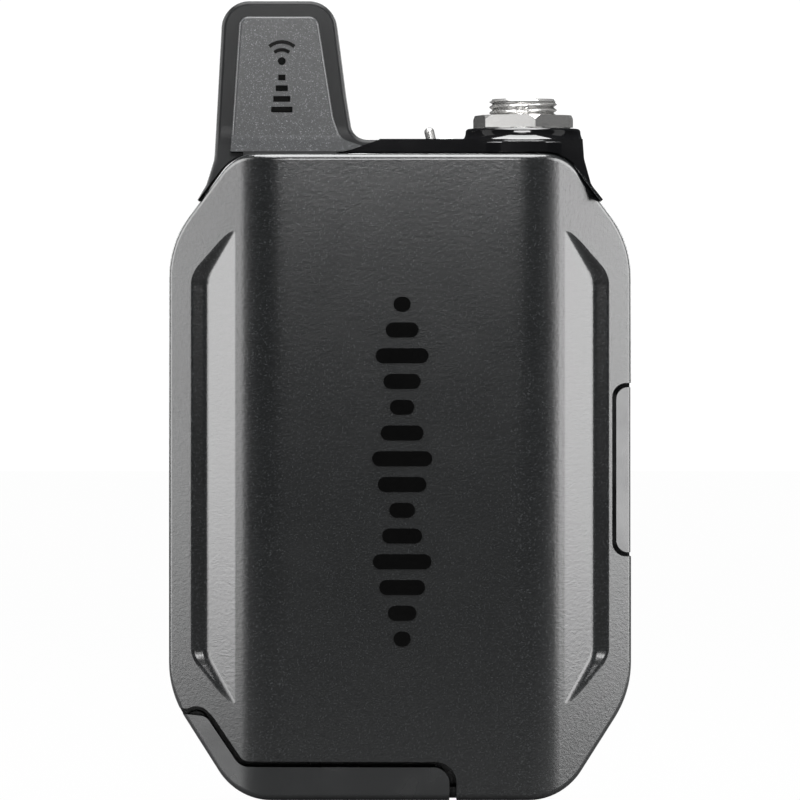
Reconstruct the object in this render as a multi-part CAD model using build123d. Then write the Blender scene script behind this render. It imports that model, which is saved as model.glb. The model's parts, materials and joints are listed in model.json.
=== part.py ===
from build123d import *
import math
import os

os.makedirs("parts", exist_ok=True)

# Millimetres. X to the right, front of the pack towards -Y, +Z up.
# Origin: centre of the flat base of the case.

# Case
CASE_W = 65.0
CASE_H = 90.5
CASE_D = 23.0
HALF_W = CASE_W / 2
FRONT_Y = -CASE_D / 2
REAR_Y = CASE_D / 2
WALL = 1.8
SEAM_Y = 1.0
GASKET_T = 0.4
TOP_FLAT = 23.1
TOP_DROP = 78.1
BASE_FLAT = 22.8
BASE_RISE = 14.9
FRONT_RIM_R = 0.9
REAR_RIM_R = 2.0

# Front face: flat plateau, rounded shoulder, slope and side scoop
PLATEAU_HALF = 15.5
SHOULDER_R = 13.6
SLOPE = 30.0
SCOOP_SLOPE = 40.0
SCOOP_X = 27.2
LEDGE_X = 29.2
SCOOP_Z = (12.8, 20.0, 73.5, 80.4)
HINGE_LINE_X = 23.1
SCOOP_CORNER_R = 6.0
SCOOP_VALLEY_R = 1.5
SCOOP_LIP_R = 0.9
SHOULDER_X = PLATEAU_HALF + SHOULDER_R * math.sin(math.radians(SLOPE))
SHOULDER_Y = FRONT_Y + SHOULDER_R * (1 - math.cos(math.radians(SLOPE)))
HINGE_LINE_Y = SHOULDER_Y + (HINGE_LINE_X - SHOULDER_X) * math.tan(math.radians(SLOPE))

# Battery door
DOOR_GAP = 0.8
DOOR_AXIS = (-28.6, 10.7)
DOOR_PIN_R = 0.6
DOOR_BORE_R = 0.65
DOOR_SWEEP_R = 2.32
DOOR_LUG_Y = (1.6, 4.6)
DOOR_MID_Y = (-2.6, 8.6)
DOOR_KNUCKLE_R = 1.5
DOOR_SKIN = 1.6

# Door latch
LATCH_X = (-3.0, 6.5)
LATCH_Y = 3.0
LATCH_TRAVEL = 3.0

# Side bezel with port and button
BEZEL_X = 30.4
BEZEL_Z = (34.6, 57.8)
BEZEL_Y = (-7.0, 5.0)
BEZEL_GAP = 0.6
SIDE_X = 32.4
PORT_Z = 41.0
PORT_W = 8.94
PORT_H = 3.26
BUTTON_Z = 52.0
BUTTON_W = 3.2
BUTTON_L = 6.0
BUTTON_CLEAR = 0.15

# Cap, antenna and connector
CAP_GAP = 0.3
CAP_HALF_D = 8.3
CAP_END_X = 25.6
DECK_Z = 92.6
OPEN_X = (-22.0, 24.4)
OPEN_Y = 7.2
PLUG_Z = 88.6
TOWER_X = 17.35
TOWER_R = 8.1
TOWER_Z = 94.2
TOWER_ROOF = 2.0
TOWER_EDGE_R = 0.45
TOWER_SWEEP_Z = 93.7
TOWER_SWEEP_R = 1.5
TOWER_ROLL_R = 0.25
TOWER_BASE_Z = 90.6
ANTENNA_Z = 112.1
ANTENNA_HALF_D = 4.6
PLATE_T = 0.7
PLATE_RIM_R = 0.45

# Connector: 3/8 in barrel, 12.7 mm nut
BARREL_R = 9.525 / 2
BARREL_Z = (86.0, 98.4)
BARREL_ROOT_R = 4.5
BARREL_THREAD_Z = 96.2
BARREL_BORE_R = 3.85
INSULATOR_Z = (86.2, 91.5)
FLANGE_R = 6.0
FLANGE_T = 1.3
NUT_AF = 12.7
NUT_Z = (94.35, 96.1)
NUT_TURN = 43.0
PIN_R = 0.5
PIN_CIRCLE_R = 1.9

# Switch and lamp
SWITCH_X = 5.1
SWITCH_Y = 0.5
SWITCH_Z = 89.6
SWITCH_LEAN = 13.0
LEVER_R = 0.7
LEVER_L = 4.9
PIVOT_R = 1.0
PIVOT_BORE_R = 1.04
LAMP_X = 6.5
LAMP_Y = -4.6
LAMP_R = 1.0

# Boards and battery
BOARD_Y = (-2.63, -1.63)
BOARD_X = (-22.0, 24.5)
BOARD_Z = (12.0, 84.0)
TRAY_X = (-23.0, 5.0)
TRAY_Y = (-1.5, 9.6)
TRAY_Z = (10.3, 63.0)
TRAY_WALL = 0.8
BATTERY_X = (-21.9, 3.9)
BATTERY_Y = (-0.4, 9.2)
BATTERY_Z = (5.1, 58.0)
MOUTH_X = (-22.2, 4.2)
MOUTH_Y = (-0.7, 9.6)

# Screws
CASE_SCREWS = ((-26.2, 22.0), (27.2, 22.0), (-26.2, 72.0), (27.2, 72.0))
BOARD_SCREWS = ((9.0, 16.0), (21.5, 16.0), (-18.0, 80.0), (21.5, 80.0))
BOSS_R = 2.3
BOARD_BOSS_R = 2.0
SCREW_R = 1.0
SCREW_HEAD_R = 2.1

# Belt clip
CLIP_AXIS = (14.3, 74.0)
CLIP_PIN_R = 1.0
CLIP_BORE_R = 1.05
CLIP_BARREL_R = 2.0
CLIP_HALF_W = 17.0
CLIP_NECK = 12.9
LUG_X = (13.4, 16.4)
SPRING_GAP = 4.5


def box(x, y, z):
    """Block from its low and high values on each axis."""
    block = Box(x[1] - x[0], y[1] - y[0], z[1] - z[0])
    return Pos((x[0] + x[1]) / 2, (y[0] + y[1]) / 2, (z[0] + z[1]) / 2) * block


def slab(sketch, y_low, y_high):
    """Sketch drawn in X and Z, given thickness along Y."""
    return extrude(Plane.XZ.offset(-y_high) * sketch, amount=y_high - y_low)


def strip(sketch, x_low, x_high):
    """Sketch drawn in Y and Z, given length along X."""
    return extrude(Plane.YZ.offset(x_low) * sketch, amount=x_high - x_low)


def outline(corners):
    """Closed outline from (u, v, corner radius) triples."""
    points = [(u, v) for u, v, r in corners]
    radii = [r for u, v, r in corners]
    return make_face(FilletPolyline(*points, radius=radii, close=True))


def rod_z(x, y, z_low, z_high, radius):
    """Upright round bar."""
    return Pos(x, y, (z_low + z_high) / 2) * Cylinder(radius, z_high - z_low)


def rod_y(x, z, y_low, y_high, radius):
    """Round bar lying front to back."""
    return Pos(x, (y_low + y_high) / 2, z) * Rot(90, 0, 0) * Cylinder(radius, y_high - y_low)


def rod_x(y, z, x_low, x_high, radius):
    """Round bar lying left to right."""
    return Pos((x_low + x_high) / 2, y, z) * Rot(0, 90, 0) * Cylinder(radius, x_high - x_low)


def slope_y(x):
    """Depth of the side slope at a given distance from the centre line."""
    return HINGE_LINE_Y + (x - HINGE_LINE_X) * math.tan(math.radians(SLOPE))


def case_outline():
    """Front view of the case: a rectangle with four long cut corners."""
    upper = [(-TOP_FLAT, CASE_H, 6.0), (TOP_FLAT, CASE_H, 6.0), (HALF_W, TOP_DROP, 14.3)]
    lower = [(HALF_W, BASE_RISE, 14.2), (BASE_FLAT, 0, 8.8), (-BASE_FLAT, 0, 8.8)]
    return outline(upper + lower + [(-HALF_W, BASE_RISE, 14.2), (-HALF_W, TOP_DROP, 14.3)])


def door_outline():
    """Region of the front view that belongs to the battery door."""
    left = [(-36, -3, 0), (-36, 12.4, 0), (-27.2, 11.6, 1.6), (-22.4, 4.65, 2.2)]
    return outline(left + [(6.9, 4.6, 2.2), (6.9, -3, 0)])


def notch_outline():
    """Region cut from the case for the door, a gap wider all round."""
    left = [(-36, -3, 0), (-36, 13.2, 0), (-26.75, 12.37, 2.2), (-21.95, 5.45, 1.6)]
    region = outline(left + [(7.9, 5.4, 2.9), (7.9, -3, 0)])
    return region + Pos(*DOOR_AXIS) * Circle(DOOR_SWEEP_R)


def shell_outline():
    """Front view of the case without the door."""
    return case_outline() - notch_outline()


def door_mid_outline():
    """Door outline behind its rim: set back, with a knuckle round the pin."""
    return offset(door_outline(), amount=-0.9) + Pos(*DOOR_AXIS) * Circle(DOOR_KNUCKLE_R)


def notch_mid_outline():
    """Case notch behind the rim, overlapping the door rim to close the gap from view."""
    return offset(door_outline(), amount=-0.2) + Pos(*DOOR_AXIS) * Circle(DOOR_KNUCKLE_R + 0.25)


def door_recess():
    """Space the case leaves for the door: wide at both rims, tight in the middle."""
    rims = slab(notch_outline(), FRONT_Y - 1, DOOR_MID_Y[0])
    rims += slab(notch_outline(), DOOR_MID_Y[1], REAR_Y + 1)
    return rims + slab(notch_mid_outline(), *DOOR_MID_Y)


def front_profile():
    """Plan section of the case: plateau, rounded shoulders, slopes, flat rear."""
    middle = SLOPE / 2
    mid_x = PLATEAU_HALF + SHOULDER_R * math.sin(math.radians(middle))
    mid_y = FRONT_Y + SHOULDER_R * (1 - math.cos(math.radians(middle)))
    side = HALF_W + 2
    right = ThreePointArc((PLATEAU_HALF, FRONT_Y), (mid_x, mid_y), (SHOULDER_X, SHOULDER_Y))
    left = ThreePointArc((-SHOULDER_X, SHOULDER_Y), (-mid_x, mid_y), (-PLATEAU_HALF, FRONT_Y))
    plateau = Line((-PLATEAU_HALF, FRONT_Y), (PLATEAU_HALF, FRONT_Y))
    corner = (side, slope_y(side))
    mirror_corner = (-side, slope_y(side))
    rest = Polyline((SHOULDER_X, SHOULDER_Y), corner, (side, REAR_Y), (-side, REAR_Y),
                    mirror_corner, (-SHOULDER_X, SHOULDER_Y))
    return make_face([plateau, right, rest, left])


def is_front_rim(edge):
    """True for the edges where the front face meets the side walls."""
    centre = edge.center()
    upright = abs(edge.tangent_at(0.5).Z) > 0.99 and abs(centre.X) < 30
    return centre.Y < slope_y(HALF_W) + 0.1 and not upright


def case_blank():
    """Outer form of the closed case."""
    body = extrude(front_profile(), amount=CASE_H) & slab(case_outline(), FRONT_Y, REAR_Y)
    body = fillet([e for e in body.edges() if is_front_rim(e)], FRONT_RIM_R)
    rear = [e for e in body.edges() if e.center().Y > REAR_Y - 0.01]
    body = fillet(rear, REAR_RIM_R)
    for side in (-1, 1):
        body -= scoop(side)
        body = fillet([e for e in body.edges() if is_scoop_lip(e, side)], SCOOP_LIP_R)
    return body


def facet_y(x):
    """Depth of the steep scoop facet at a given distance from the centre line."""
    return HINGE_LINE_Y + (x - HINGE_LINE_X) * math.tan(math.radians(SCOOP_SLOPE))


def scoop_wedge(side):
    """Sharp wedge between the slope, the steep facet and the ledge."""
    foot_y = facet_y(SCOOP_X)
    step_x = LEDGE_X - SCOOP_X
    step_y = slope_y(LEDGE_X) - foot_y
    rings = []
    for end_z, corner_z in ((SCOOP_Z[0], SCOOP_Z[1]), (SCOOP_Z[3], SCOOP_Z[2])):
        line = (side * HINGE_LINE_X, HINGE_LINE_Y, end_z)
        foot = (side * SCOOP_X, foot_y, corner_z)
        ledge = (side * (SCOOP_X + 1.5 * step_x), foot_y + 1.5 * step_y, corner_z)
        above = (side * (HINGE_LINE_X + 0.5 * step_x), HINGE_LINE_Y + 0.5 * step_y, end_z)
        rings.append((line, foot, ledge, above))
    low, high = rings
    faces = [make_face(Polyline(*ring, close=True)) for ring in rings]
    for i in range(4):
        j = (i + 1) % 4
        faces.append(make_face(Polyline(low[i], low[j], high[j], high[i], close=True)))
    return Solid(Shell([f.face() for f in faces]))


def is_scoop_corner(edge):
    """True for the two short edges where the ledge turns towards the tips."""
    x = SCOOP_X + 0.75 * (LEDGE_X - SCOOP_X)
    return abs(abs(edge.center().X) - x) < 0.3 and edge.length < 5


def is_scoop_valley(edge):
    """True for the edges round the foot of the steep facet."""
    on_facet = all(abs((edge @ t).Y - facet_y(abs((edge @ t).X))) < 0.02 for t in (0, 0.5, 1))
    return on_facet and abs(edge.center().X) > HINGE_LINE_X + 0.2


def is_scoop_lip(edge, side):
    """True for the edges where the scoop breaks through the slope."""
    on_slope = all(abs((edge @ t).Y - slope_y(abs((edge @ t).X))) < 0.03 for t in (0, 0.5, 1))
    x = side * edge.center().X
    return on_slope and HINGE_LINE_X + 0.5 < x < LEDGE_X + 0.2 and edge.length > 0.2


def scoop(side):
    """Wedge taken out of one side slope, with rounded corners and valley."""
    wedge = scoop_wedge(side)
    wedge = fillet([e for e in wedge.edges() if is_scoop_corner(e)], SCOOP_CORNER_R)
    return fillet([e for e in wedge.edges() if is_scoop_valley(e)], SCOOP_VALLEY_R)


def cavity():
    """Hollow of the two shells."""
    half = [(30.6, REAR_Y - WALL), (30.6, -0.9), (24.5, -4.6), (21.5, -7.3), (14.5, FRONT_Y + 1.9)]
    mirrored = [(-x, y) for x, y in reversed(half)]
    section = make_face(Polyline(*half, *mirrored, close=True))
    inner = offset(shell_outline(), amount=-WALL, kind=Kind.INTERSECTION)
    return extrude(section, amount=CASE_H) & slab(inner, FRONT_Y, REAR_Y)


def bezel_region(grow):
    """Side bezel outline in front view, grown by the shadow gap."""
    z_mid = (BEZEL_Z[0] + BEZEL_Z[1]) / 2
    width = 8.0
    height = BEZEL_Z[1] - BEZEL_Z[0] + 2 * grow
    plate = RectangleRounded(width, height, 1.7 + grow / 2)
    return Pos(BEZEL_X - grow + width / 2, z_mid) * plate


def openings_cut():
    """Everything both shells leave open: cap mouth, battery mouth, side bezel."""
    cap_mouth = box(OPEN_X, (-OPEN_Y, OPEN_Y), (86.0, 92.0))
    battery_mouth = box(MOUTH_X, MOUTH_Y, (3.0, 10.0))
    side = slab(bezel_region(BEZEL_GAP), BEZEL_Y[0], BEZEL_Y[1] + BEZEL_GAP)
    keeper = box((6.0, 12.0), (-LATCH_Y - 0.2, LATCH_Y + 0.2), (1.55, 3.35))
    relief = box((28.3, 31.0), (-3.3, 2.4), (BEZEL_Z[0] + 1, BEZEL_Z[1] - 1))
    return cap_mouth + battery_mouth + side + keeper + relief


def case_seats():
    """Countersunk seats and clearance holes for the case screws."""
    cut = Part()
    for x, z in CASE_SCREWS:
        cut += rod_y(x, z, 0.0, REAR_Y + 1, SCREW_R + 0.1)
        cone = Cone(SCREW_R + 0.1, SCREW_HEAD_R, 1.1)
        cut += Pos(x, REAR_Y - 0.85, z) * Rot(-90, 0, 0) * cone
        cut += rod_y(x, z, REAR_Y - 0.3, REAR_Y + 1, SCREW_HEAD_R)
    return cut


def front_shell(blank):
    """Front half of the case with its screw bosses."""
    shell = blank - door_recess() - cavity() - openings_cut()
    posts = Part()
    for x, z in CASE_SCREWS:
        posts += rod_y(x, z, -6.0, SEAM_Y, BOSS_R)
    for x, z in BOARD_SCREWS:
        posts += rod_y(x, z, -10.0, BOARD_Y[0], BOARD_BOSS_R)
    shell += posts & slab(offset(shell_outline(), amount=-1.0), FRONT_Y, REAR_Y) & blank
    for x, z in CASE_SCREWS:
        shell -= rod_y(x, z, -2.6, SEAM_Y + 1, SCREW_R)
    for x, z in BOARD_SCREWS:
        shell -= rod_y(x, z, -6.4, BOARD_Y[0] + 1, 0.8)
    return shell - box((-HALF_W - 5, HALF_W + 5), (SEAM_Y, REAR_Y + 5), (-5, CASE_H + 5))


def clip_lug(x_low, x_high):
    """Ear that carries one end of the clip pin."""
    y, z = CLIP_AXIS
    ear = rod_x(y, z, x_low, x_high, 2.3) + box((x_low, x_high), (REAR_Y - 1, y), (z - 2.3, z + 2.3))
    return ear - rod_x(y, z, x_low - 1, x_high + 1, CLIP_PIN_R)


def rear_shell(blank):
    """Rear half of the case with screw posts, clip ears and the door hinge lug."""
    shell = blank - door_recess() - cavity() - openings_cut()
    posts = Part()
    for x, z in CASE_SCREWS:
        posts += rod_y(x, z, SEAM_Y, REAR_Y - 1, BOSS_R)
    posts = posts & slab(offset(shell_outline(), amount=-1.0), FRONT_Y, REAR_Y)
    front = box((-HALF_W - 5, HALF_W + 5), (FRONT_Y - 5, SEAM_Y + GASKET_T), (-5, CASE_H + 5))
    shell = shell - front + posts - case_seats()
    for side in (-1, 1):
        ends = sorted((side * LUG_X[0], side * LUG_X[1]))
        shell += clip_lug(*ends)
    return shell + hinge_lug(blank)


def hinge_lug(blank):
    """Lug on the case that holds the middle of the door pin and closes the gap above it."""
    x, z = DOOR_AXIS
    reach = 3.4
    fan = [(0, 0)]
    for angle in (5, 60, 115, 160):
        at = math.radians(angle)
        fan.append((reach * math.cos(at), reach * math.sin(at)))
    web = slab(Pos(x, z) * (make_face(Polyline(*fan, close=True)) + Circle(1.7)), *DOOR_LUG_Y)
    return (web & blank) - rod_y(x, z, 0, 6, DOOR_PIN_R)


def shell_gasket():
    """Thin seal between the two shells."""
    ring = offset(shell_outline(), amount=-0.5) - offset(shell_outline(), amount=-1.5)
    seal = slab(ring, SEAM_Y, SEAM_Y + GASKET_T) - openings_cut()
    for x, z in CASE_SCREWS:
        seal -= rod_y(x, z, SEAM_Y - 1, SEAM_Y + 1, BOSS_R + 0.05)
    return seal


def battery_door(blank):
    """Tray shaped door that wraps the lower left corner of the case."""
    rims = slab(door_outline(), FRONT_Y - 1, DOOR_MID_Y[0]) + slab(door_outline(), DOOR_MID_Y[1], REAR_Y + 1)
    door = blank & (rims + slab(door_mid_outline(), *DOOR_MID_Y))
    hollow = offset(case_outline() & door_outline(), amount=-DOOR_SKIN)
    hollow = hollow & Pos(-8.5, 3) * Rectangle(26.0, 8.0)
    upper = Pos(-8.5, 5.6) * Rectangle(26.0, 8.0)
    door -= slab(hollow + upper, FRONT_Y + 2.2, REAR_Y - 2.2)
    x, z = DOOR_AXIS
    door -= rod_y(x, z, -4.6, 10.0, DOOR_BORE_R)
    door -= rod_y(x, z, DOOR_LUG_Y[0] - 0.2, DOOR_LUG_Y[1] + 0.2, 2.9)
    slot = (-LATCH_Y - 0.15, LATCH_Y + 0.15)
    door -= box((3.5, 8.0), slot, (DOOR_SKIN, 3.3))
    door -= box((LATCH_X[0] - 0.2, 1.0 + LATCH_TRAVEL), (-2.2, 2.2), (-1.0, 2.0))
    return door


def door_hinge_pin():
    """Steel pin along the lower left corner."""
    return rod_y(*DOOR_AXIS, -4.4, 9.8, DOOR_PIN_R)


def door_latch():
    """Flat slider in the door with a thumb pad below and a tongue to the right."""
    plate = box((-6.0, LATCH_X[1]), (-LATCH_Y, LATCH_Y), (1.65, 3.2))
    plate = box((-6.0, 1.0), (-LATCH_Y - 1.2, LATCH_Y + 1.2), (1.65, 3.2)) + plate
    pad = box((LATCH_X[0], 0.8), (-2.0, 2.0), (0.35, 2.6))
    for i in range(3):
        pad -= box((-2.3 + 1.1 * i, -1.8 + 1.1 * i), (-3, 3), (0.0, 0.65))
    return plate + pad


def battery_pad():
    """Foam block that presses the battery up to its contacts."""
    return box((-20.0, -7.6), (1.0, 8.0), (DOOR_SKIN, 4.95))


def io_bezel(blank):
    """Side plate around the charging port and the link button."""
    plate = blank & slab(bezel_region(0), *BEZEL_Y)
    plate -= box((SIDE_X, SIDE_X + 5), (-20, 20), (0, CASE_H))
    plate += box((29.3, 30.5), (-0.6, 6.4), (BEZEL_Z[0] - 1.4, BEZEL_Z[1] + 1.4))
    plate += box((29.3, 30.5), (-3.2, 0), (BEZEL_Z[0] + 1.1, BEZEL_Z[1] - 1.1))
    plate -= strip(Pos(0, PORT_Z) * Rot(0, 0, 90) * SlotOverall(PORT_W + 0.4, PORT_H + 0.4), 20, 40)
    clear = 2 * BUTTON_CLEAR
    hole = Pos(0, BUTTON_Z) * Rot(0, 0, 90) * SlotOverall(BUTTON_L + clear, BUTTON_W + clear)
    return plate - strip(hole, 20, 40)


def link_button():
    """Oblong push button with a retaining flange."""
    head = strip(Pos(0, BUTTON_Z) * Rot(0, 0, 90) * SlotOverall(BUTTON_L, BUTTON_W), 28.7, SIDE_X - 0.1)
    flange = strip(Pos(0, BUTTON_Z) * Rot(0, 0, 90) * SlotOverall(BUTTON_L + 1.4, BUTTON_W + 1.0), 28.7, 29.2)
    return head + flange


def link_switch():
    """Small tactile switch behind the button."""
    body = box((24.6, 27.8), (BOARD_Y[1], 1.9), (BUTTON_Z - 2.6, BUTTON_Z + 2.6))
    return body + rod_x(0, BUTTON_Z, 27.8, 28.2, 1.0)


def usb_port_shell():
    """Drawn steel shell of the charging port."""
    outer = Pos(0, PORT_Z) * Rot(0, 0, 90) * SlotOverall(PORT_W, PORT_H)
    inner = Pos(0, PORT_Z) * Rot(0, 0, 90) * SlotOverall(PORT_W - 0.6, PORT_H - 0.6)
    return strip(outer, 24.4, 32.1) - strip(inner, 25.4, 33)


def usb_port_tongue():
    """Contact tongue inside the charging port."""
    tongue = box((25.4, 31.2), (-0.35, 0.35), (PORT_Z - 3.3, PORT_Z + 3.3))
    return tongue + box((25.4, 26.6), (-1.2, 1.2), (PORT_Z - 3.3, PORT_Z + 3.3))


def saddle():
    """Front view of everything that stands on the case top."""
    left = [(-26.0, 82.0, 0), (-28.45, 84.1, 0), (-27.2, 86.2, 2.0), (-26.1, 89.8, 6.0)]
    mast = [(-24.9, ANTENNA_Z, 3.9), (-9.3, ANTENNA_Z, 4.0), (-7.6, 98.9, 20.0), (-6.6, DECK_Z, 2.4)]
    deck = [(8.4, DECK_Z, 0), (9.6, 94.0, 0), (25.5, 94.0, 0), (25.8, 89.8, 3.0), (26.8, 86.2, 2.0)]
    return outline(left + mast + deck + [(28.45, 84.1, 0), (26.0, 82.0, 0)])


def antenna_side():
    """Front view region left of the slanted seam between antenna and deck."""
    return make_face(Polyline((-40, 80), (-8.7, 80), (-8.7, 90.4), (-3.1, DECK_Z - 0.1), (-3.1, 120),
                              (-40, 120), close=True))


def mast_section(extra):
    """Side view of the antenna: thin blade that flares gently towards its foot."""
    half = ANTENNA_HALF_D + extra
    foot = 6.8 + extra
    front = [(-foot, 80, 0), (-foot, 86.0, 6.0), (-half, 93.2, 9.0), (-half, 115, 0)]
    back = [(half, 115, 0), (half, 93.2, 9.0), (foot, 86.0, 6.0), (foot, 80, 0)]
    return outline(front + back)


def case_clearance():
    """Case outline grown by the shadow gap, as a full depth block."""
    return slab(offset(case_outline(), amount=CAP_GAP), -20, 20)


def antenna_housing():
    """Hollow mast that rides over the upper left corner of the case."""
    body = slab(saddle() & antenna_side(), -CAP_HALF_D, CAP_HALF_D)
    body = body & strip(mast_section(0), -40, 0)
    rim = [e for e in body.edges() if abs(abs(e.center().Y) - ANTENNA_HALF_D) < 0.01 and e.center().Z > 96]
    body = fillet(rim, 0.7)
    body -= case_clearance()
    body += box((OPEN_X[0], -8.8), (-OPEN_Y, OPEN_Y), (PLUG_Z, CASE_H + 0.4))
    inner = [(-23.0, 109.5, 1.0), (-11.2, 109.5, 1.0), (-9.8, 93.0, 1.0), (-10.2, 84.0, 0), (-20.6, 84.0, 0)]
    body -= slab(outline(inner + [(-20.6, 90.0, 0.5), (-23.6, 92.6, 0.5)]), -3.2, 3.2)
    return body


def plate_outline():
    """Raised panel of the antenna in front view."""
    top = [(-22.55, 109.9, 1.4), (-11.6, 109.9, 1.4), (-9.35, 95.6, 6.0), (-8.3, 92.7, 2.0)]
    return outline(top + [(-5.0, 91.6, 0), (-8.0, 90.9, 0), (-23.8, 90.9, 0)])


def antenna_plate(side):
    """Raised textured panel on the front or the rear of the antenna."""
    sheet = strip(mast_section(PLATE_T), -40, 0) - strip(mast_section(0), -41, 1)
    face_y = side * (ANTENNA_HALF_D + PLATE_T)
    raised = slab(plate_outline(), *sorted((side * 1.0, face_y)))
    rim = [e for e in raised.edges() if abs(e.center().Y - face_y) < 0.01 and e.center().Z > 92]
    raised = fillet(rim, PLATE_RIM_R)
    skirt = Pos(-20, 91.4) * Rectangle(40, 3.6)
    skirt = slab(plate_outline() & skirt, *sorted((side * 1.0, side * 12.0)))
    return sheet & (raised + skirt) & slab(antenna_side(), -12, 12)


def antenna_element():
    """Printed circuit radiator inside the antenna."""
    board = box((-20.4, -12.4), (-0.4, 0.4), (87.2, 107.5))
    for i in range(4):
        board -= box((-21.0 + 3.4 * (i % 2), -15.2 + 3.4 * (i % 2)), (-1, 1), (91.5 + 4 * i, 92.3 + 4 * i))
    return board


def antenna_feed():
    """Short coaxial lead from the main board to the radiator."""
    path = FilletPolyline((-14.4, -1.05, 80.0), (-14.4, -1.05, 84.6), (-14.4, 1.0, 86.4),
                          (-14.4, 1.0, 89.2), radius=1.2)
    return sweep(Plane(origin=path @ 0, z_dir=path % 0) * Circle(0.55), path=path)


def quarter(centre, radius, angle):
    """Quarter circle about a centre, starting at an angle in degrees."""
    points = []
    for turn in (0, 45, 90):
        at = math.radians(angle + turn)
        points.append((centre[0] + radius * math.cos(at), centre[1] + radius * math.sin(at)))
    return ThreePointArc(*points)


def tower():
    """Round connector pedestal that sweeps out into a wider collar."""
    shelf_r = TOWER_R + TOWER_SWEEP_R
    shelf_z = TOWER_SWEEP_Z - TOWER_SWEEP_R
    collar_r = shelf_r + TOWER_ROLL_R
    base = Polyline((collar_r, shelf_z - TOWER_ROLL_R), (collar_r, TOWER_BASE_Z), (0, TOWER_BASE_Z),
                    (0, TOWER_Z), (TOWER_R - TOWER_EDGE_R, TOWER_Z))
    edge = quarter((TOWER_R - TOWER_EDGE_R, TOWER_Z - TOWER_EDGE_R), TOWER_EDGE_R, 0)
    side = Line((TOWER_R, TOWER_Z - TOWER_EDGE_R), (TOWER_R, TOWER_SWEEP_Z))
    sweep_out = quarter((shelf_r, TOWER_SWEEP_Z), TOWER_SWEEP_R, 180)
    roll = quarter((shelf_r, shelf_z - TOWER_ROLL_R), TOWER_ROLL_R, 0)
    section = make_face([*base.edges(), edge, side, sweep_out, roll])
    return Pos(TOWER_X, 0, 0) * revolve(Plane.XZ * section, axis=Axis.Z)


def top_cap():
    """Glossy deck that covers the case top and carries the connector."""
    region = saddle() & make_face(Polyline((-8.6, 80), (-8.6, 90.45), (-2.9, DECK_Z - 0.1),
                                           (-2.9, DECK_Z), (25.9, DECK_Z), (40, 80), close=True))
    body = slab(region, -CAP_HALF_D, CAP_HALF_D)
    body += tower() & box((0, CAP_END_X), (-CAP_HALF_D - 1.0, CAP_HALF_D + 1.0), (80, 100))
    body -= case_clearance()
    body += box((-8.7, OPEN_X[1]), (-OPEN_Y, OPEN_Y), (PLUG_Z, CASE_H + 0.4))
    body -= slab(antenna_side(), -CAP_HALF_D - 1, CAP_HALF_D + 1)
    body -= box((-7.6, 10.6), (-6.4, 6.4), (80, 90.7))
    body -= rod_z(TOWER_X, 0, 80, TOWER_Z - TOWER_ROOF, 6.5)
    body -= rod_z(TOWER_X, 0, 90, 96, BARREL_ROOT_R)
    body -= box((SWITCH_X - 1.75, SWITCH_X + 1.75), (SWITCH_Y - 0.9, SWITCH_Y + 0.9), (90, 94))
    body -= rod_z(LAMP_X, LAMP_Y, 90, 94, LAMP_R)
    return body


def connector_barrel():
    """Threaded barrel of the microphone socket with its inner flange."""
    barrel = rod_z(TOWER_X, 0, *BARREL_Z, BARREL_ROOT_R)
    barrel += rod_z(TOWER_X, 0, BARREL_THREAD_Z, BARREL_Z[1], BARREL_R)
    roof = TOWER_Z - TOWER_ROOF
    flange = rod_z(TOWER_X, 0, roof - FLANGE_T, roof, FLANGE_R)
    return barrel + flange - rod_z(TOWER_X, 0, BARREL_Z[0] - 1, BARREL_Z[1] + 1, BARREL_BORE_R)


def connector_insulator():
    """Moulded insert that holds the contacts."""
    insert = rod_z(TOWER_X, 0, *INSULATOR_Z, BARREL_BORE_R)
    key = box((TOWER_X - 0.6, TOWER_X + 0.6), (2.6, 3.5), (INSULATOR_Z[1] - 1, INSULATOR_Z[1] + 2.5))
    return insert + key - connector_pins()


def connector_pins():
    """Four round contacts."""
    pins = []
    for angle in (45, 135, 225, 315):
        x = TOWER_X + PIN_CIRCLE_R * math.cos(math.radians(angle))
        y = PIN_CIRCLE_R * math.sin(math.radians(angle))
        pin = rod_z(x, y, 84.9, 97.0, PIN_R)
        pins.append(fillet(pin.edges().group_by(Axis.Z)[-1], 0.35))
    return Compound(children=pins)


def connector_nut():
    """Hexagon nut that clamps the barrel to the pedestal."""
    hexagon = Rot(0, 0, NUT_TURN) * RegularPolygon(NUT_AF / 2, 6, major_radius=False)
    nut = Pos(TOWER_X, 0, NUT_Z[0]) * extrude(hexagon, amount=NUT_Z[1] - NUT_Z[0])
    cone = Cone(9.6, 6.2, 4.6, align=(Align.CENTER, Align.CENTER, Align.MIN))
    dome = Pos(TOWER_X, 0, NUT_Z[0] - 1.9) * cone
    return (nut & dome) - rod_z(TOWER_X, 0, 90, 100, BARREL_ROOT_R)


def connector_washer():
    """Thin flat washer under the nut."""
    return rod_z(TOWER_X, 0, TOWER_Z, NUT_Z[0], 6.6) - rod_z(TOWER_X, 0, 90, 100, BARREL_ROOT_R)


def connector_board():
    """Small round board soldered to the contact tails."""
    disc = rod_z(TOWER_X, 0, 85.2, 86.0, 5.2)
    return disc - connector_pins()


def switch_lever():
    """Short toggle lever on a cross barrel, drawn leaning to the left."""
    stick = Cylinder(LEVER_R, LEVER_L, align=(Align.CENTER, Align.CENTER, Align.MIN))
    stick = fillet(stick.edges().group_by(Axis.Z)[-1], 0.55)
    barrel = Rot(90, 0, 0) * Cylinder(PIVOT_R, 2.6)
    return Pos(SWITCH_X, SWITCH_Y, SWITCH_Z) * Rot(0, -SWITCH_LEAN, 0) * (stick + barrel)


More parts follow.
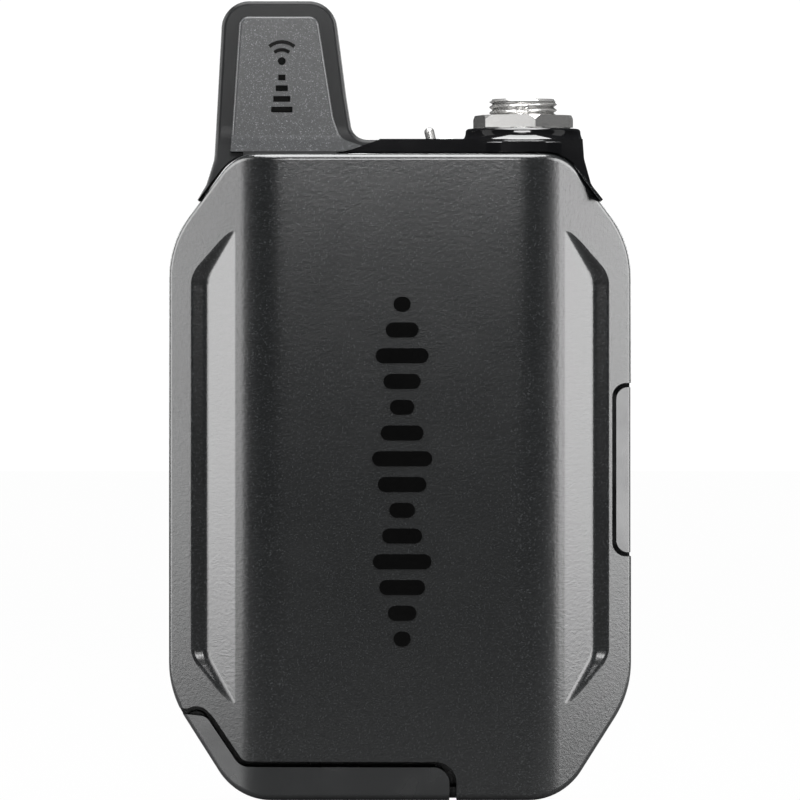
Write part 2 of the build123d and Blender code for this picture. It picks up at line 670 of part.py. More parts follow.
def switch_body():
    """Housing of the power switch with the seat for the lever barrel."""
    body = box((SWITCH_X - 3.6, SWITCH_X + 3.6), (SWITCH_Y - 2.2, SWITCH_Y + 2.2), (86.2, 90.7))
    body -= rod_y(SWITCH_X, SWITCH_Z, SWITCH_Y - 1.35, SWITCH_Y + 1.35, PIVOT_BORE_R)
    mouth = [(-0.95, 0.0), (0.95, 0.0), (1.5, 2.0), (-1.5, 2.0)]
    throat = make_face(Polyline(*[(SWITCH_X + x, SWITCH_Z + z) for x, z in mouth], close=True))
    return body - slab(throat, SWITCH_Y - 0.85, SWITCH_Y + 0.85)


def lamp_lens():
    """Clear light pipe ending in a low dome on the deck."""
    lens = rod_z(LAMP_X, LAMP_Y, 88.2, DECK_Z + 0.25, LAMP_R)
    return fillet(lens.edges().group_by(Axis.Z)[-1], 0.25)


def status_lamp():
    """Surface mounted lamp on the switch board."""
    base = box((LAMP_X - 0.9, LAMP_X + 0.9), (LAMP_Y - 0.7, LAMP_Y + 0.7), (86.2, 87.0))
    return base + box((LAMP_X - 0.6, LAMP_X + 0.6), (LAMP_Y - 0.5, LAMP_Y + 0.5), (87.0, 87.9))


def switch_board():
    """Small board under the deck for the switch and the lamp."""
    return box((-3.5, 10.6), (-6.2, 4.4), (85.2, 86.2))


def main_board():
    """Main circuit board with a side tab for the port and button."""
    board = box(BOARD_X, BOARD_Y, BOARD_Z) + box((24, 27), BOARD_Y, (35.0, 57.0))
    for x, z in BOARD_SCREWS:
        board -= rod_y(x, z, -4, 0, 0.9)
    return board


def shield_can():
    """Folded radio shield with vent holes."""
    can = box((-11, 13), (-4.8, BOARD_Y[0]), (52, 76))
    can = fillet(can.edges().filter_by(Axis.Y), 1.0)
    can -= box((-10.7, 12.7), (-4.5, BOARD_Y[0] + 1), (52.3, 75.7))
    for i in range(5):
        for k in range(5):
            can -= rod_y(-7 + 4 * i, 56 + 4 * k, -6, -4, 0.5)
    return can


def board_chips():
    """Integrated circuits and passive parts on the front of the board."""
    sizes = [(-13, 40, 7, 7), (2, 42, 9, 9), (15, 40, 5, 5), (-12, 26, 6, 4), (1, 27, 4, 6)]
    sizes += [(13, 28, 4, 3), (-16, 60, 3, 5), (17.5, 62, 4, 6), (0, 80, 8, 3)]
    front = BOARD_Y[0]
    chips = [box((x, x + w), (front - 1.0, front), (z, z + h)) for x, z, w, h in sizes]
    for i in range(8):
        chips.append(box((-18 + 4 * i, -17 + 4 * i), (front - 0.5, front), (36, 38)))
    return Compound(children=chips)


def battery_tray():
    """Thin walled well that guides the battery."""
    tray = box(TRAY_X, TRAY_Y, TRAY_Z)
    x = (TRAY_X[0] + TRAY_WALL, TRAY_X[1] - TRAY_WALL)
    tray -= box(x, (TRAY_Y[0] + TRAY_WALL, TRAY_Y[1] + 1), (0, TRAY_Z[1] - TRAY_WALL))
    return tray - box((-14.0, -4.0), (2.0, 7.0), (60, 70))


def battery_pack():
    """Rechargeable cell pack with rounded long edges and terminal recesses."""
    pack = box(BATTERY_X, BATTERY_Y, BATTERY_Z)
    pack = fillet(pack.edges().filter_by(Axis.Z), 1.6)
    for x in (-12.0, -9.0, -6.0):
        pack -= box((x - 1.0, x + 1.0), (3.0, 6.0), (57.7, 60))
    return pack


def battery_terminals():
    """Flat terminals set in the top of the battery."""
    pads = [box((x - 1.0, x + 1.0), (3.0, 6.0), (57.7, 57.95)) for x in (-12.0, -9.0, -6.0)]
    return Compound(children=pads)


def contact_block():
    """Insulating block that carries the battery contacts."""
    block = box((-14.0, -4.0), (2.0, 7.0), (60.0, 64.5))
    for x in (-12.0, -9.0, -6.0):
        block -= rod_z(x, 4.5, 59, 65, 0.6)
    return block


def contact_pins():
    """Three sprung contacts resting on the battery terminals."""
    pins = []
    for x in (-12.0, -9.0, -6.0):
        pin = rod_z(x, 4.5, 57.95, 64.8, 0.6)
        pins.append(fillet(pin.edges().group_by(Axis.Z)[0], 0.3))
    return Compound(children=pins)


def case_screws():
    """Four countersunk screws through the rear shell."""
    screws = []
    for x, z in CASE_SCREWS:
        cone = Cone(SCREW_R + 0.1, SCREW_HEAD_R, 1.1)
        head = Pos(x, REAR_Y - 0.85, z) * Rot(-90, 0, 0) * cone
        screw = head + rod_y(x, z, -2.4, REAR_Y - 0.9, SCREW_R)
        socket = Pos(x, REAR_Y - 0.7, z) * Rot(-90, 0, 0) * Cylinder(0.85, 0.9)
        screws.append(screw - socket)
    return Compound(children=screws)


def board_screws():
    """Four pan head screws that hold the main board."""
    screws = []
    for x, z in BOARD_SCREWS:
        head = fillet(rod_y(x, z, BOARD_Y[1], -0.5, 1.6).edges().group_by(Axis.Y)[-1], 0.4)
        screw = head + rod_y(x, z, -6.0, BOARD_Y[1], 0.8)
        screws.append(screw - box((x - 0.2, x + 0.2), (-0.9, 0), (z - 1.1, z + 1.1)))
    return Compound(children=screws)


def belt_clip():
    """Bent spring steel clip with two rolled knuckles and a thumb tab."""
    outer = [(16.3, 80.5, 0), (17.3, 77.0, 2.0), (17.3, 25.0, 3.0), (13.5, 17.5, 1.8), (15.4, 12.5, 0)]
    inner = [(14.3, 12.1, 0), (12.1, 17.6, 0.6), (16.1, 25.4, 1.8), (16.1, 77.0, 0.8), (15.1, 80.1, 0)]
    sheet = outline(outer + inner)
    wide = strip(sheet, -CLIP_HALF_W, CLIP_HALF_W)
    blade = Pos(0, 40) * RectangleRounded(2 * CLIP_HALF_W, 61.0, 5.0)
    neck = Pos(0, 75) * RectangleRounded(2 * CLIP_NECK, 14.0, 3.0)
    clip = wide & slab(blade + neck, 10, 20)
    y, z = CLIP_AXIS
    for side in (-1, 1):
        ends = sorted((side * SPRING_GAP, side * (LUG_X[0] - 0.2)))
        clip += rod_x(y, z, *ends, CLIP_BARREL_R) + box(ends, (y, 16.5), (z - 2.0, z + 2.0))
    clip -= rod_x(y, z, -20, 20, CLIP_BORE_R)
    window = Pos(0, 34) * SlotOverall(14, 5)
    return clip - slab(window, 15, 19)


def clip_pin():
    """Steel pin of the belt clip."""
    return rod_x(*CLIP_AXIS, -LUG_X[1], LUG_X[1], CLIP_PIN_R)


def clip_spring():
    """Torsion spring coiled on the clip pin."""
    y, z = CLIP_AXIS
    coil = Helix(pitch=0.8, height=4.8, radius=1.4)
    wire = sweep(Plane(origin=coil @ 0, z_dir=coil % 0) * Circle(0.27), path=coil)
    return Pos(-2.4, y, z) * Rot(0, 90, 0) * wire


def rating_label():
    """Blank silver label on the back."""
    plate = Pos(0, 44) * RectangleRounded(25, 34, 1.5)
    return slab(plate, REAR_Y, REAR_Y + 0.1)


def level_mark():
    """Stack of bars like a sound level trace, on the front plateau."""
    widths = (2.4, 4.0, 6.4, 8.2, 5.6, 3.6, 6.8, 8.4, 6.0, 3.4, 5.2, 7.4, 4.6, 2.4)
    bars = []
    for i, width in enumerate(widths):
        bar = Pos(0.3, 22.6 + 3.6 * i) * SlotOverall(width, 2.1)
        bars.append(slab(bar, FRONT_Y - 0.1, FRONT_Y))
    return Compound(children=bars)


def wave_mark():
    """Column of a radio wave sign over four bars, on the antenna panel."""
    face_y = -ANTENNA_HALF_D - PLATE_T
    x, z = -16.6, 103.6
    pieces = [slab(Pos(x, z) * Circle(0.55), face_y - 0.06, face_y)]
    wedge = Polygon((0, 0), (-6, 7), (6, 7), align=None)
    for radius in (1.6, 2.7):
        ring = Circle(radius + 0.25) - Circle(radius - 0.25)
        pieces.append(slab(Pos(x, z) * (ring & wedge), face_y - 0.06, face_y))
    for i, width in enumerate((1.0, 1.7, 2.4, 3.0)):
        pieces.append(slab(Pos(x, 101.3 - 1.5 * i) * Rectangle(width, 0.8), face_y - 0.06, face_y))
    return Compound(children=pieces)


def build():
    """Every node of the transmitter by name."""
    blank = case_blank()
    return {
        "front_shell": front_shell(blank),
        "rear_shell": rear_shell(blank),
        "shell_gasket": shell_gasket(),
        "level_mark": level_mark(),
        "rating_label": rating_label(),
        "top_cap": top_cap(),
        "antenna_housing": antenna_housing(),
        "antenna_front_plate": antenna_plate(-1),
        "antenna_rear_plate": antenna_plate(1),
        "antenna_element": antenna_element(),
        "antenna_feed": antenna_feed(),
        "wave_mark": wave_mark(),
        "connector_barrel": connector_barrel(),
        "connector_nut": connector_nut(),
        "connector_washer": connector_washer(),
        "connector_insulator": connector_insulator(),
        "connector_pins": connector_pins(),
        "connector_board": connector_board(),
        "switch_lever": switch_lever(),
        "switch_body": switch_body(),
        "switch_board": switch_board(),
        "lamp_lens": lamp_lens(),
        "status_lamp": status_lamp(),
        "io_bezel": io_bezel(blank),
        "link_button": link_button(),
        "link_switch": link_switch(),
        "usb_port_shell": usb_port_shell(),
        "usb_port_tongue": usb_port_tongue(),
        "main_board": main_board(),
        "shield_can": shield_can(),
        "board_chips": board_chips(),
        "board_screws": board_screws(),
        "battery_tray": battery_tray(),
        "battery_pack": battery_pack(),
        "battery_terminals": battery_terminals(),
        "contact_block": contact_block(),
        "contact_pins": contact_pins(),
        "case_screws": case_screws(),
        "battery_door": battery_door(blank),
        "door_hinge_pin": door_hinge_pin(),
        "battery_pad": battery_pad(),
        "door_latch": door_latch(),
        "belt_clip": belt_clip(),
        "clip_pin": clip_pin(),
        "clip_spring": clip_spring(),
    }


for name, shape in build().items():
    export_step(shape, f"parts/{name}.step")
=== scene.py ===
import bpy
import json
import math
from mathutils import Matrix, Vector

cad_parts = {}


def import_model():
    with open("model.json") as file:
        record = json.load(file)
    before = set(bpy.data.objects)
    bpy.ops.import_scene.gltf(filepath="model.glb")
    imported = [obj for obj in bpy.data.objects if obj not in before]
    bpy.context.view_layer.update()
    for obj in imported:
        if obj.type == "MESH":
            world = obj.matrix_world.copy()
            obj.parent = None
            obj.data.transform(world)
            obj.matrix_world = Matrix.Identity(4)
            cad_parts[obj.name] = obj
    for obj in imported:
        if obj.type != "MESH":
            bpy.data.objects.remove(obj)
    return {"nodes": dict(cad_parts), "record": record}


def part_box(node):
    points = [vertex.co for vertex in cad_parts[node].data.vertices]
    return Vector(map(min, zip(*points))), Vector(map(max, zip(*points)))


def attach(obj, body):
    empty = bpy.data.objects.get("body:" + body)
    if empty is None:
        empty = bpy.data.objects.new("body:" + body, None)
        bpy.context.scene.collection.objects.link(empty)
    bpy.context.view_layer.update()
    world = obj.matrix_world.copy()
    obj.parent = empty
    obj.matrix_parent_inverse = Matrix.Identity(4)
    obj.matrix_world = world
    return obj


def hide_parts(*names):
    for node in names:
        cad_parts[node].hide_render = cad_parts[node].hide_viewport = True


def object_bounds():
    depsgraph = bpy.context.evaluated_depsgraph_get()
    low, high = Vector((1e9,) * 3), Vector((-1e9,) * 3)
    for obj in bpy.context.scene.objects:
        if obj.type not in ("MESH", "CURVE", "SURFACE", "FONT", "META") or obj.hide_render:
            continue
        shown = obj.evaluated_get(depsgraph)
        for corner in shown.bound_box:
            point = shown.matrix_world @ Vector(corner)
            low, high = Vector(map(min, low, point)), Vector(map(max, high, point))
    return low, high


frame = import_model()
CAD_BOX = [list(corner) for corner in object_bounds()]
MM = 0.001
scene = bpy.context.scene


# ---------------------------------------------------------------- materials

NOISE_ROUGHNESS = 0.55

SLOW_GRAIN = 6.0        # mm, slow change in the gloss of a plain surface

COAT_SLOW_GRAIN = 9.0   # mm, the same on a sandy coat
COAT_GLOSS_SPREAD = 0.008
COAT_COARSE = 2.6       # coarse grain over fine grain
COAT_DARK = 0.82
COAT_LIGHT = 1.2
FLECK_EDGE = 0.12       # softness of a fleck's edge
FINE_SHARE = 0.6        # fine bump over coarse bump


def new_material(name):
    """Empty material with a Principled shader."""
    material = bpy.data.materials.new(name)
    material.use_nodes = True
    tree = material.node_tree
    tree.nodes.clear()
    out = tree.nodes.new("ShaderNodeOutputMaterial")
    shader = tree.nodes.new("ShaderNodeBsdfPrincipled")
    tree.links.new(shader.outputs["BSDF"], out.inputs["Surface"])
    return material, tree, shader


def noise(tree, size_mm, detail, stretch=(1, 1, 1)):
    """Noise with a grain of the given size, fixed to the object."""
    coords = tree.nodes.new("ShaderNodeTexCoord")
    mapping = tree.nodes.new("ShaderNodeMapping")
    mapping.inputs["Scale"].default_value = stretch
    texture = tree.nodes.new("ShaderNodeTexNoise")
    texture.inputs["Scale"].default_value = 1 / (size_mm * MM)
    texture.inputs["Detail"].default_value = detail
    texture.inputs["Roughness"].default_value = NOISE_ROUGHNESS
    tree.links.new(coords.outputs["Object"], mapping.inputs["Vector"])
    tree.links.new(mapping.outputs["Vector"], texture.inputs["Vector"])
    return texture.outputs["Fac"]


def remap(tree, value, low, high, start=0.3, end=0.7):
    """Value stretched from its own range to another."""
    node = tree.nodes.new("ShaderNodeMapRange")
    node.inputs["From Min"].default_value = start
    node.inputs["From Max"].default_value = end
    node.inputs["To Min"].default_value = low
    node.inputs["To Max"].default_value = high
    tree.links.new(value, node.inputs["Value"])
    return node.outputs["Result"]


def blend_colour(tree, factor, dark, light):
    """Colour between two fixed colours."""
    node = tree.nodes.new("ShaderNodeMix")
    node.data_type = "RGBA"
    node.inputs["A"].default_value = (*dark, 1)
    node.inputs["B"].default_value = (*light, 1)
    tree.links.new(factor, node.inputs["Factor"])
    return node.outputs["Result"]


def bump(tree, height, depth_mm, below=None):
    """Bump normal from a height, over another bump if one is given."""
    node = tree.nodes.new("ShaderNodeBump")
    node.inputs["Strength"].default_value = 1.0
    node.inputs["Distance"].default_value = depth_mm * MM
    tree.links.new(height, node.inputs["Height"])
    if below is not None:
        tree.links.new(below, node.inputs["Normal"])
    return node.outputs["Normal"]


def surface(name, colour, rough, metal=0.0, grain=0.3, depth=0.01, tint=0.15, spread=0.06,
            specular=0.5, stretch=(1, 1, 1)):
    """General finish: fine grain in colour and bump, slow change in roughness."""
    material, tree, shader = new_material(name)
    fine = noise(tree, grain, 4.0, stretch)
    slow = noise(tree, SLOW_GRAIN, 2.0)
    dark = [c * (1 - tint) for c in colour]
    light = [min(1.0, c * (1 + tint)) for c in colour]
    shade = blend_colour(tree, remap(tree, fine, 0, 1), dark, light)
    tree.links.new(shade, shader.inputs["Base Color"])
    tree.links.new(remap(tree, slow, rough - spread, rough + spread), shader.inputs["Roughness"])
    tree.links.new(bump(tree, fine, depth), shader.inputs["Normal"])
    shader.inputs["Metallic"].default_value = metal
    shader.inputs["Specular IOR Level"].default_value = specular
    return material


def speckled(name, colour, fleck, rough, grain, depth, share=0.6, specular=0.5):
    """Sandy coat: two sizes of grain, light flecks, uneven gloss."""
    material, tree, shader = new_material(name)
    fine = noise(tree, grain, 2.0)
    coarse = noise(tree, grain * COAT_COARSE, 3.0)
    slow = noise(tree, COAT_SLOW_GRAIN, 2.0)
    dark = [c * COAT_DARK for c in colour]
    light = [c * COAT_LIGHT for c in colour]
    body = blend_colour(tree, remap(tree, coarse, 0, 1), dark, light)
    flecks = tree.nodes.new("ShaderNodeMix")
    flecks.data_type = "RGBA"
    flecks.inputs["B"].default_value = (*fleck, 1)
    tree.links.new(body, flecks.inputs["A"])
    tree.links.new(remap(tree, fine, 0, 1, share, share + FLECK_EDGE), flecks.inputs["Factor"])
    tree.links.new(flecks.outputs["Result"], shader.inputs["Base Color"])
    gloss = remap(tree, slow, rough - COAT_GLOSS_SPREAD, rough + COAT_GLOSS_SPREAD)
    tree.links.new(gloss, shader.inputs["Roughness"])
    below = bump(tree, coarse, depth)
    tree.links.new(bump(tree, fine, depth * FINE_SHARE, below), shader.inputs["Normal"])
    shader.inputs["Specular IOR Level"].default_value = specular
    return material


COATS = {
    "case_coat": dict(
        colour=(0.0024, 0.0026, 0.0027), fleck=(0.0135, 0.0144, 0.0149), rough=0.2,
        grain=0.18, depth=0.013, share=0.55,
    ),
    "antenna_panel": dict(
        colour=(0.010, 0.0105, 0.011), fleck=(0.085, 0.088, 0.092), rough=0.32,
        grain=0.15, depth=0.008, specular=0.27,
    ),
}

PLASTICS = {
    "door_coat": dict(colour=(0.004, 0.0043, 0.0045), rough=0.24, grain=0.15, depth=0.002),
    "seal_rubber": dict(colour=(0.012, 0.012, 0.012), rough=0.7),
    "mark_gloss": dict(
        colour=(0.001, 0.001, 0.001), rough=0.1, grain=0.5, depth=0.0004, spread=0.02, specular=0.12,
    ),
    "mark_dark": dict(
        colour=(0.001, 0.001, 0.001), rough=0.1, grain=0.3, depth=0.0005, spread=0.02, specular=0.12,
    ),
    "cap_gloss": dict(colour=(0.003, 0.003, 0.0033), rough=0.08, grain=0.25, depth=0.0005, spread=0.015),
    "antenna_rim": dict(
        colour=(0.003, 0.0032, 0.0034), rough=0.34, grain=0.12, depth=0.003, spread=0.02, specular=0.12,
    ),
    "bezel_gloss": dict(colour=(0.005, 0.005, 0.0055), rough=0.2, grain=0.2, depth=0.002),
    "button_rubber": dict(colour=(0.03, 0.03, 0.033), rough=0.55, grain=0.1),
    "latch_plastic": dict(colour=(0.03, 0.03, 0.032), rough=0.4, grain=0.15, depth=0.004),
    "insulator_black": dict(colour=(0.02, 0.02, 0.022), rough=0.5, depth=0.004),
    "tray_plastic": dict(colour=(0.04, 0.04, 0.045), rough=0.5),
    "battery_wrap": dict(colour=(0.05, 0.05, 0.055), rough=0.4),
    "foam_pad": dict(colour=(0.06, 0.06, 0.06), rough=0.9, grain=0.2, depth=0.05),
    "lead_jacket": dict(colour=(0.03, 0.03, 0.03), rough=0.5),
    "circuit_board": dict(colour=(0.02, 0.16, 0.07), rough=0.35),
    "chip_black": dict(colour=(0.03, 0.03, 0.03), rough=0.5),
    "lens_clear": dict(colour=(0.32, 0.34, 0.33), rough=0.12, depth=0.001, tint=0.05),
    "lamp_white": dict(colour=(0.8, 0.8, 0.75), rough=0.4),
}

METALS = {
    "nickel": dict(
        colour=(0.50, 0.495, 0.485), rough=0.17, metal=0.82, grain=0.4, depth=0.001, tint=0.05, spread=0.03,
    ),
    "switch_metal": dict(colour=(0.75, 0.75, 0.75), rough=0.3, metal=0.3),
    "contact_gold": dict(colour=(0.83, 0.62, 0.28), rough=0.22, metal=1.0, depth=0.001, tint=0.05),
    "port_steel": dict(
        colour=(0.65, 0.65, 0.66), rough=0.28, metal=1.0, grain=0.2, depth=0.002, stretch=(0.1, 1, 1),
    ),
    "can_steel": dict(colour=(0.7, 0.7, 0.7), rough=0.35, metal=1.0),
    "screw_steel": dict(colour=(0.10, 0.10, 0.105), rough=0.35, metal=1.0, grain=0.2, depth=0.002),
    "pin_steel": dict(colour=(0.6, 0.6, 0.6), rough=0.25, metal=1.0, grain=0.2, depth=0.002),
    "spring_steel": dict(colour=(0.55, 0.55, 0.55), rough=0.3, metal=1.0),
    "clip_steel": dict(
        colour=(0.020, 0.020, 0.022), rough=0.32, grain=0.12, depth=0.0015, tint=0.08, spread=0.03,
    ),
    "label_silver": dict(colour=(0.62, 0.63, 0.64), rough=0.35, metal=0.9, grain=0.1, stretch=(0.1, 1, 1)),
}

FINISH = {name: speckled(name, **look) for name, look in COATS.items()}
FINISH.update({name: surface(name, **look) for name, look in PLASTICS.items()})
FINISH.update({name: surface(name, **look) for name, look in METALS.items()})


def paint(obj, slot):
    """Gives an object one finish."""
    obj.data.materials.clear()
    obj.data.materials.append(FINISH[slot])


for part in frame["record"]["subparts"]:
    paint(frame["nodes"][part["node"]], part["material_slot"])


# ---------------------------------------------------------------- pieces

BEVEL_ANGLE = 25
BEVEL_SEGMENTS = 2

# Bevel widths in millimetres.
EDGE_WIDTH = {
    "front_shell": 0.12,
    "rear_shell": 0.15,
    "battery_door": 0.15,
    "top_cap": 0.2,
    "antenna_housing": 0.15,
    "antenna_front_plate": 0.22,
    "antenna_rear_plate": 0.22,
    "io_bezel": 0.15,
    "connector_nut": 0.12,
    "link_button": 0.15,
    "belt_clip": 0.2,
    "level_mark": 0.03,
    "case_screws": 0.08,
    "door_latch": 0.15,
}

# Threaded barrel, in millimetres.
THREAD_MAJOR_R = 4.76
THREAD_MINOR_R = 4.32
THREAD_PITCH = 0.794
THREAD_ROOT = 0.12      # flat root and flank, as shares of half a pitch
THREAD_FLANK = 0.72
THREAD_FADE = 0.2       # length of the run-out at each end
THREAD_MOUTH = 0.35     # share of the thread's depth left at the mouth
THREAD_BELOW_TOP = 2.4
MOUTH_HEIGHT = 0.35
MOUTH_RIM_Z = 0.1
MOUTH_RIM_INSET = 0.28
MOUTH_TOP_INSET = 0.42
BORE_R = 3.85
BORE_BREAK_R = 0.12
BORE_BREAK_Z = 0.14
FLANGE_R = 6.0
FLANGE_T = 1.3
FLANGE_BELOW_TOP = 6.2
BARREL_STEPS = 72
RINGS_PER_TURN = 8
SMOOTH_ANGLE = 40


def soften(obj, width_mm):
    """Small rounded edges."""
    bevel = obj.modifiers.new("edge", "BEVEL")
    bevel.width = width_mm * MM
    bevel.segments = BEVEL_SEGMENTS
    bevel.limit_method = "ANGLE"
    bevel.angle_limit = math.radians(BEVEL_ANGLE)


def add_mesh(name, verts, faces, body, slot):
    """Mesh piece in millimetres that rides on a body."""
    mesh = bpy.data.meshes.new(name)
    mesh.from_pydata([[c * MM for c in v] for v in verts], [], faces)
    mesh.validate()
    obj = bpy.data.objects.new(name, mesh)
    scene.collection.objects.link(obj)
    mesh.shade_smooth()
    mesh.set_sharp_from_angle(angle=math.radians(SMOOTH_ANGLE))
    paint(obj, slot)
    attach(obj, body)
    return obj


def plain_row(radius, z):
    """Round row of the barrel's profile."""
    return [(radius, z)] * BARREL_STEPS


def thread_row(z, start, end):
    """Row across the thread, deeper where the helix has its root."""
    fade = min(1.0, (z - start) / THREAD_FADE, (end - z) / THREAD_FADE + THREAD_MOUTH)
    ring = []
    for i in range(BARREL_STEPS):
        phase = (z / THREAD_PITCH - i / BARREL_STEPS) % 1.0
        wave = abs(phase - 0.5) * 2
        crest = min(1.0, max(0.0, (wave - THREAD_ROOT) / THREAD_FLANK))
        depth = (THREAD_MAJOR_R - THREAD_MINOR_R) * (1 - crest) * max(0.0, fade)
        ring.append((THREAD_MAJOR_R - depth, z))
    return ring


def turned_ring(rows, centre_x, first):
    """Vertices and faces of a closed profile that goes round the barrel's axis."""
    verts = []
    for ring in rows:
        for i, (r, z) in enumerate(ring):
            angle = 2 * math.pi * i / BARREL_STEPS
            verts.append((centre_x + r * math.cos(angle), r * math.sin(angle), z))
    faces = []
    for k in range(len(rows)):
        here = first + k * BARREL_STEPS
        above = first + (k + 1) % len(rows) * BARREL_STEPS
        for i in range(BARREL_STEPS):
            j = (i + 1) % BARREL_STEPS
            faces.append((here + i, here + j, above + j, above + i))
    return verts, faces


def threaded_barrel():
    """Connector barrel with a real helical thread and a chamfered mouth."""
    low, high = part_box("connector_barrel")
    centre_x = (low.x + high.x) / 2 / MM
    top = high.z / MM
    bottom = low.z / MM
    start = top - THREAD_BELOW_TOP
    end = top - MOUTH_HEIGHT
    rows = [plain_row(BORE_R, bottom), plain_row(THREAD_MAJOR_R, bottom), plain_row(THREAD_MAJOR_R, start)]
    count = int((end - start) / (THREAD_PITCH / RINGS_PER_TURN))
    for k in range(count + 1):
        rows.append(thread_row(start + (end - start) * k / count, start, end))
    rows.append(plain_row(THREAD_MAJOR_R - MOUTH_RIM_INSET, end + MOUTH_RIM_Z))
    rows.append(plain_row(THREAD_MAJOR_R - MOUTH_TOP_INSET, top))
    rows.append(plain_row(BORE_R + BORE_BREAK_R, top))
    rows.append(plain_row(BORE_R, top - BORE_BREAK_Z))
    verts, faces = turned_ring(rows, centre_x, 0)

    flange_top = top - FLANGE_BELOW_TOP
    flange_foot = flange_top - FLANGE_T
    corners = [
        (THREAD_MAJOR_R, flange_foot),
        (FLANGE_R, flange_foot),
        (FLANGE_R, flange_top),
        (THREAD_MAJOR_R, flange_top),
    ]
    more_verts, more_faces = turned_ring([plain_row(r, z) for r, z in corners], centre_x, len(verts))
    piece = add_mesh("threaded_barrel", verts + more_verts, faces + more_faces, "pack", "nickel")
    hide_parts("connector_barrel")
    return piece


BARREL = threaded_barrel()

for name, width in EDGE_WIDTH.items():
    soften(frame["nodes"][name], width)


# ---------------------------------------------------------------- studio

CARD_REACH = 0.55
CARD_TOP = 0.5

FLOOR_HALF = 6
FLOOR_DROP = 0.00005
FLOOR_GREY = 0.045      # what reflections see
FLOOR_ROUGHNESS = 0.9
FLOOR_WHITE = 0.985     # what the camera sees

ROOM_COLOUR = (0.9, 0.95, 1.0)
ROOM_DIM = 0.035        # what reflections see
ROOM_WHITE = 1.05       # what the camera sees

CAMERA_DISTANCE = 1.3
CAMERA_HEIGHT = 0.056
VIEW_WIDTH = 0.11283
SENSOR_WIDTH = 36


def softbox(name, place, target, width, height, brightness):
    """Rectangular area light of a given brightness, aimed at a point."""
    data = bpy.data.lights.new(name, "AREA")
    data.shape = "RECTANGLE"
    data.size = width
    data.size_y = height
    data.energy = brightness * math.pi * width * height
    lamp = bpy.data.objects.new(name, data)
    lamp.location = place
    lamp.rotation_mode = "QUATERNION"
    aim = Vector(target) - Vector(place)
    lamp.rotation_quaternion = aim.to_track_quat("-Z", "Y")
    lamp.visible_camera = False
    scene.collection.objects.link(lamp)
    return lamp


def only_for(lamp, objects, state):
    """Limits a light: INCLUDE lights only these objects, EXCLUDE all but these."""
    group = bpy.data.collections.new(lamp.name + "_receivers")
    for obj in objects:
        group.objects.link(obj)
    for item in group.collection_objects:
        item.light_linking.link_state = state
    lamp.light_linking.receiver_collection = group


def side_card(name, side, near_angle, far_angle, bottom, brightness):
    """Upright card beside the object, between two angles measured from the front."""
    middle = math.radians((near_angle + far_angle) / 2)
    width = 2 * CARD_REACH * math.tan(math.radians((far_angle - near_angle) / 2))
    height = (bottom + CARD_TOP) / 2
    place = (side * CARD_REACH * math.sin(middle), -CARD_REACH * math.cos(middle), height)
    return softbox(name, place, (0, 0, height), width, CARD_TOP - bottom, brightness)


def floor():
    """Plain floor, white to the eye and dark grey to the reflections."""
    mesh = bpy.data.meshes.new("floor")
    corners = [(x * FLOOR_HALF, y * FLOOR_HALF, 0) for x, y in ((-1, -1), (1, -1), (1, 1), (-1, 1))]
    mesh.from_pydata(corners, [], [(0, 1, 2, 3)])
    obj = bpy.data.objects.new("floor", mesh)
    obj.location.z = CAD_BOX[0][2] - FLOOR_DROP
    scene.collection.objects.link(obj)
    material, tree, shader = new_material("floor_white")
    shader.inputs["Base Color"].default_value = (FLOOR_GREY, FLOOR_GREY, FLOOR_GREY, 1)
    shader.inputs["Roughness"].default_value = FLOOR_ROUGHNESS
    glow = tree.nodes.new("ShaderNodeEmission")
    glow.inputs["Color"].default_value = (1, 1, 1, 1)
    mix = tree.nodes.new("ShaderNodeMixShader")
    path = tree.nodes.new("ShaderNodeLightPath")
    scale = tree.nodes.new("ShaderNodeMath")
    scale.operation = "MULTIPLY"
    scale.inputs[1].default_value = FLOOR_WHITE
    out = next(n for n in tree.nodes if n.type == "OUTPUT_MATERIAL")
    tree.links.new(path.outputs["Is Camera Ray"], scale.inputs[0])
    tree.links.new(scale.outputs[0], mix.inputs[0])
    tree.links.new(shader.outputs["BSDF"], mix.inputs[1])
    tree.links.new(glow.outputs[0], mix.inputs[2])
    tree.links.new(mix.outputs[0], out.inputs["Surface"])
    mesh.materials.append(material)


def world():
    """White backdrop for the eye, dim room for the reflections."""
    room = bpy.data.worlds.new("room")
    scene.world = room
    room.use_nodes = True
    tree = room.node_tree
    tree.nodes.clear()
    out = tree.nodes.new("ShaderNodeOutputWorld")
    mix = tree.nodes.new("ShaderNodeMixShader")
    path = tree.nodes.new("ShaderNodeLightPath")
    dim = tree.nodes.new("ShaderNodeBackground")
    dim.inputs["Color"].default_value = (*ROOM_COLOUR, 1)
    dim.inputs["Strength"].default_value = ROOM_DIM
    white = tree.nodes.new("ShaderNodeBackground")
    white.inputs["Color"].default_value = (1, 1, 1, 1)
    white.inputs["Strength"].default_value = ROOM_WHITE
    tree.links.new(path.outputs["Is Camera Ray"], mix.inputs[0])
    tree.links.new(dim.outputs[0], mix.inputs[1])
    tree.links.new(white.outputs[0], mix.inputs[2])
    tree.links.new(mix.outputs[0], out.inputs["Surface"])


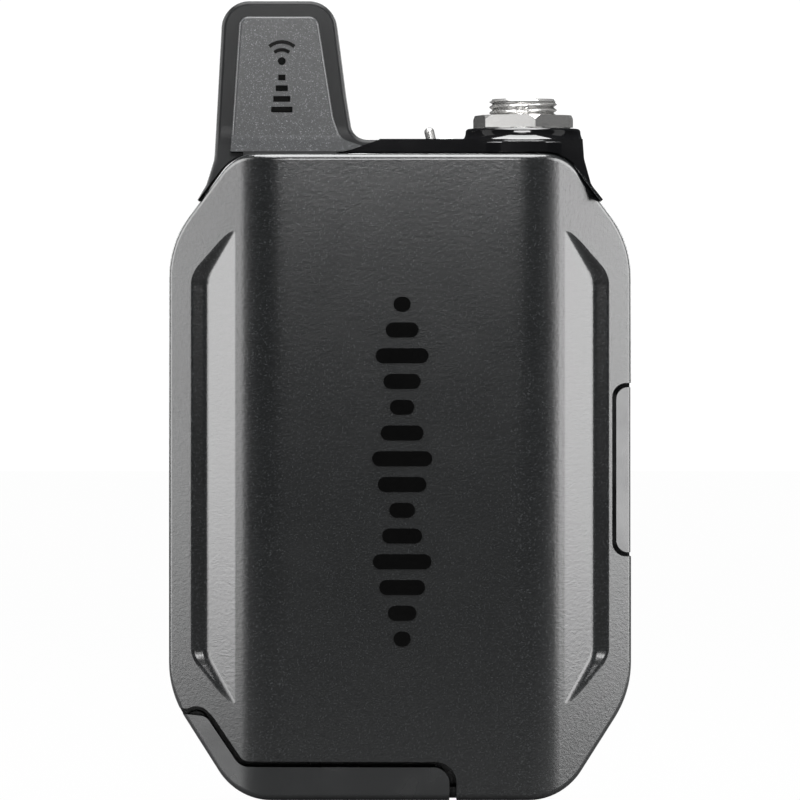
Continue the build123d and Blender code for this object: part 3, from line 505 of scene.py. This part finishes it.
def camera():
    """Level camera square to the front, with a long lens."""
    data = bpy.data.cameras.new("camera")
    data.sensor_width = SENSOR_WIDTH
    data.lens = SENSOR_WIDTH * CAMERA_DISTANCE / VIEW_WIDTH
    data.clip_start = 0.01
    data.clip_end = 50
    obj = bpy.data.objects.new("camera", data)
    obj.location = (0, -CAMERA_DISTANCE, CAMERA_HEIGHT)
    obj.rotation_euler = (math.radians(90), 0, 0)
    scene.collection.objects.link(obj)
    scene.camera = obj


scene.view_settings.view_transform = "Standard"
floor()
world()
camera()

CAP = [frame["nodes"]["top_cap"]]
METAL = [BARREL] + [frame["nodes"][n] for n in ("connector_nut", "connector_washer", "switch_lever")]

# Name, side, near and far angle, bottom, brightness.
CASE_CARDS = (
    ("left_front", -1, 58, 70, 0.00, 6.5),
    ("left_front_high", -1, 58, 70, 0.09, 15),
    ("left_side", -1, 70, 92, 0.00, 10),
    ("left_side_high", -1, 70, 92, 0.09, 30),
    ("right_front", 1, 58, 70, 0.00, 10),
    ("right_front_high", 1, 58, 70, 0.09, 24),
    ("right_side", 1, 70, 92, 0.00, 10),
    ("right_side_high", 1, 70, 92, 0.09, 36),
)
METAL_CARDS = (
    ("left_metal", -1, 30, 60, 0.00, 1.4),
    ("right_metal", 1, 24, 48, 0.00, 1.4),
)
CAP_CARDS = (
    ("left_cap", -1, 66, 92, 0.00, 0.8),
    ("right_cap", 1, 66, 92, 0.00, 0.8),
)

# Name, place, target, width, height, brightness.
FRONT_BOXES = (
    ("front_strip", (0, -0.35, 0.157), (0, 0, 0.157), 0.2, 0.05, 21),
    ("front_card", (0, -0.35, 0.19), (0, 0, 0.19), 0.1, 0.12, 5.8),
    ("top_box", (0, -0.16, 0.55), (0, -0.16, 0.05), 0.5, 0.52, 16),
)
BACK_BOXES = (
    ("back_box", (0, 0.75, 0.50), (0, 0, 0.05), 0.9, 0.5, 7),
    ("back_left", (-0.55, 0.50, 0.30), (0, 0, 0.08), 0.4, 0.5, 7),
    ("back_right", (0.55, 0.50, 0.30), (0, 0, 0.08), 0.4, 0.5, 7),
)

for card in CASE_CARDS:
    only_for(side_card(*card), METAL + CAP, "EXCLUDE")
for card in METAL_CARDS:
    only_for(side_card(*card), METAL, "INCLUDE")
for card in CAP_CARDS:
    only_for(side_card(*card), CAP, "INCLUDE")
for box in FRONT_BOXES:
    softbox(*box)
for box in BACK_BOXES:
    only_for(softbox(*box), METAL + CAP, "EXCLUDE")
